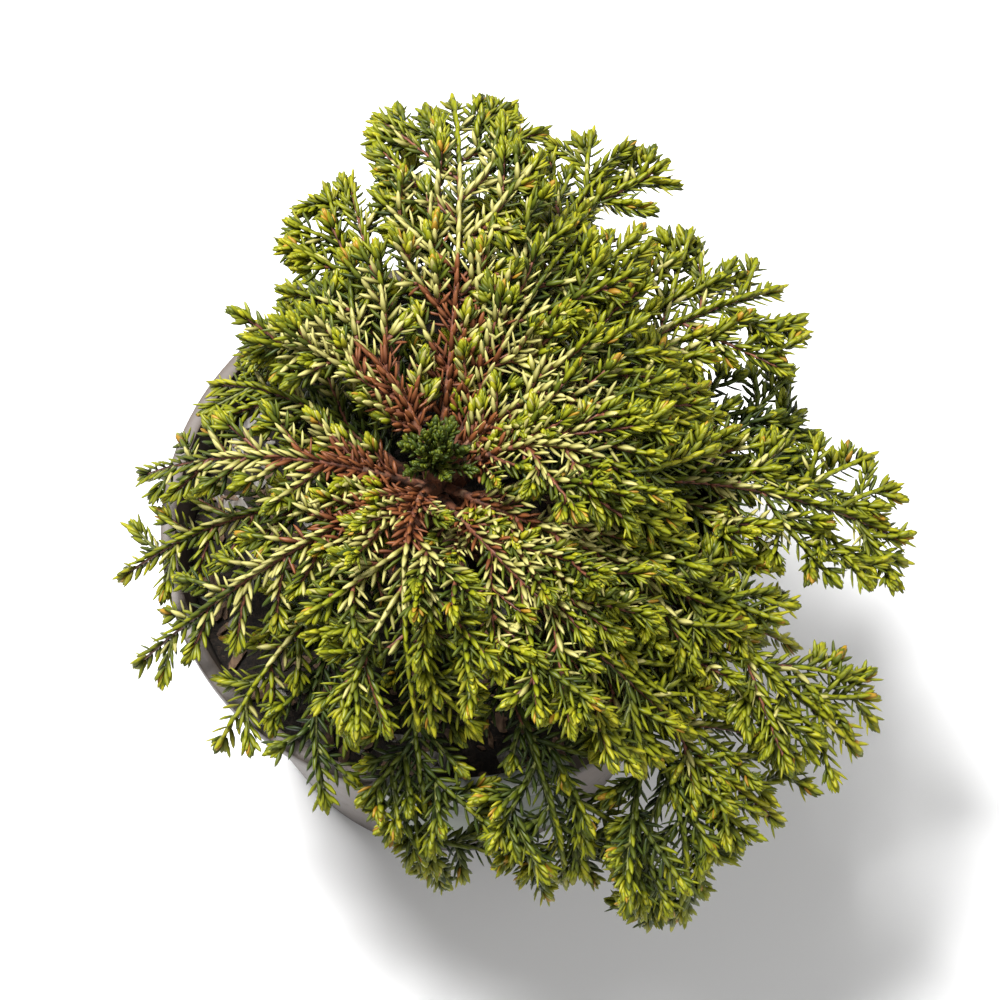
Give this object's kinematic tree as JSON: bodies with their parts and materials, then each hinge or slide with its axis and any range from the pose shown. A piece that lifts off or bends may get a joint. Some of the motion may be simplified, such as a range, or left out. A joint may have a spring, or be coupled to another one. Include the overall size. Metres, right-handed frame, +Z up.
{
  "type": "golden tuffet eastern arborvitae in a nursery pot",
  "caption": "Low rounded dwarf conifer with golden green, straw and bronze shoots spreading from a short stem in a round taupe nursery pot.",
  "frame": {"origin": "middle of the pot's flat underside, on the surface it stands on", "axes": "+Z up along the pot's axis, +Y away from the side with the label, +X to the right seen from that side"},
  "size_m": [0.2534, 0.2463, 0.2195],
  "materials": {
    "pot_plastic": "matt taupe moulded plastic, lightly scuffed",
    "potting_soil": "dark damp potting soil with bark chips",
    "label_plastic": "blank grey green plastic strip with a pale top edge",
    "bark": "red brown young bark, finely ridged",
    "foliage_upper": "straw and bronze needles on the top shoots",
    "foliage_middle": "lime and golden green needles",
    "foliage_low": "mid green needles in shade",
    "foliage_weeping": "green needles with golden tips",
    "foliage_tuft": "dark green new needles"
  },
  "bodies": {
    "root": {"pot": "pot_plastic", "soil": "potting_soil", "label": "label_plastic", "stem": "bark", "bough_upper_1": "bark", "bough_upper_2": "bark", "bough_upper_3": "bark", "bough_upper_4": "bark", "bough_upper_5": "bark", "bough_upper_6": "bark", "bough_upper_7": "bark", "bough_upper_8": "bark", "bough_upper_9": "bark", "bough_upper_10": "bark", "bough_middle_1": "bark", "bough_middle_2": "bark", "bough_middle_3": "bark", "bough_middle_4": "bark", "bough_middle_5": "bark", "bough_middle_6": "bark", "bough_middle_7": "bark", "bough_middle_8": "bark", "bough_middle_9": "bark", "bough_low_1": "bark", "bough_low_2": "bark", "bough_low_3": "bark", "bough_low_4": "bark", "bough_weeping_1": "bark", "bough_weeping_2": "bark", "bough_weeping_3": "bark", "foliage_upper_1": "foliage_upper", "foliage_upper_2": "foliage_upper", "foliage_upper_3": "foliage_upper", "foliage_upper_4": "foliage_upper", "foliage_upper_5": "foliage_upper", "foliage_upper_6": "foliage_upper", "foliage_upper_7": "foliage_upper", "foliage_upper_8": "foliage_upper", "foliage_upper_9": "foliage_upper", "foliage_upper_10": "foliage_upper", "foliage_middle_1": "foliage_middle", "foliage_middle_2": "foliage_middle", "foliage_middle_3": "foliage_middle", "foliage_middle_4": "foliage_middle", "foliage_middle_5": "foliage_middle", "foliage_middle_6": "foliage_middle", "foliage_middle_7": "foliage_middle", "foliage_middle_8": "foliage_middle", "foliage_middle_9": "foliage_middle", "foliage_low_1": "foliage_low", "foliage_low_2": "foliage_low", "foliage_low_3": "foliage_low", "foliage_low_4": "foliage_low", "foliage_weeping_1": "foliage_weeping", "foliage_weeping_2": "foliage_weeping", "foliage_weeping_3": "foliage_weeping", "foliage_tuft": "foliage_tuft"}
  },
  "joints": []
}
